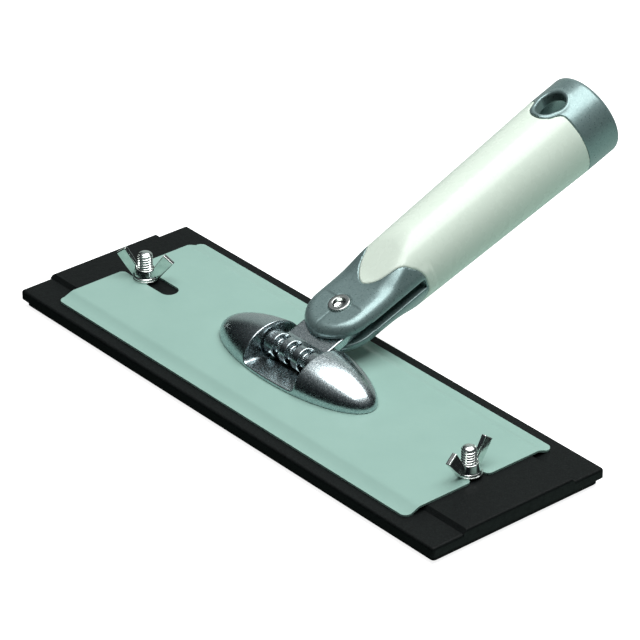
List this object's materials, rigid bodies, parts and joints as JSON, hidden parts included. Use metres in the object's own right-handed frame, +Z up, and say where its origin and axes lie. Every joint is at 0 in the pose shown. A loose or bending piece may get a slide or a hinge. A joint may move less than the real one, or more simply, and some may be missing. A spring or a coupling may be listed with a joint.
{
  "type": "sanding block",
  "caption": "Flat sanding block with a foam sole, a steel plate that clamps the abrasive sheet under wing nuts, and a moulded handle on a tilting and swivelling die-cast joint.",
  "frame": {"origin": "centre of the underside of the sole", "axes": "+X along the block, +Z up from the sole, the handle leans towards +Y at rest"},
  "size_m": [0.233, 0.1863, 0.0808],
  "materials": {
    "black_plastic": "fine-grained matt moulding",
    "black_rubber": "closed-cell foam rubber",
    "zinc_plate": "bright zinc plate",
    "bare_steel": "drawn steel",
    "plate_paint": "pale grey-green satin powder coat",
    "die_cast": "tumbled and polished die casting",
    "grey_plastic": "satin metallic grey moulding",
    "white_plastic": "smooth gloss moulding",
    "dark_plastic": "plain moulding"
  },
  "bodies": {
    "base": {"base_plate": "black_plastic", "foam_pad": "black_rubber", "left_stud": "zinc_plate", "right_stud": "zinc_plate"},
    "clamp": {"clamp_plate": "plate_paint", "swivel_dome": "die_cast", "hinge_pin": "bare_steel", "dome_screws": "bare_steel"},
    "link": {"swivel_link": "die_cast"},
    "handle": {"handle_fork": "grey_plastic", "handle_shell": "white_plastic", "socket_sleeve": "dark_plastic", "end_cap": "grey_plastic", "swivel_rivet": "zinc_plate", "rivet_washer": "zinc_plate"},
    "left_washer": {"left_washer": "zinc_plate"},
    "left_nut": {"left_wing_nut": "zinc_plate"},
    "right_washer": {"right_washer": "zinc_plate"},
    "right_nut": {"right_wing_nut": "zinc_plate"}
  },
  "joints": [
    {"name": "plate_slide", "type": "slide", "parent": "base", "child": "clamp", "axis": [1, 0, 0], "range_m": [-0.0122, 0]},
    {"name": "head_tilt", "type": "hinge", "parent": "clamp", "child": "link", "pos_m": [-0.0015, 0, 0.0143], "axis": [1, 0, 0], "range_deg": [0, 140]},
    {"name": "handle_swivel", "type": "hinge", "parent": "link", "child": "handle", "pos_m": [-0.0015, 0.0219, 0.02227], "axis": [0, -0.342, 0.9397], "range_deg": [-60, 60]},
    {"name": "left_nut_rise", "type": "slide", "parent": "base", "child": "left_washer", "axis": [0, 0, 1], "range_m": [0, 0.00201]},
    {"name": "left_nut_turn", "type": "hinge", "parent": "left_washer", "child": "left_nut", "pos_m": [-0.0898, -0.0007, 0.01], "axis": [0, 0, 1], "range_deg": [0, 720]},
    {"name": "right_nut_rise", "type": "slide", "parent": "base", "child": "right_washer", "axis": [0, 0, 1], "range_m": [0, 0.00201]},
    {"name": "right_nut_turn", "type": "hinge", "parent": "right_washer", "child": "right_nut", "pos_m": [0.0912, -0.0007, 0.01], "axis": [0, 0, 1], "range_deg": [0, 720]}
  ],
  "couplings": [
    {"joint": "left_nut_rise", "follows": "left_nut_turn", "m_per_rad": 0.00015915},
    {"joint": "right_nut_rise", "follows": "right_nut_turn", "m_per_rad": 0.00015915}
  ]
}
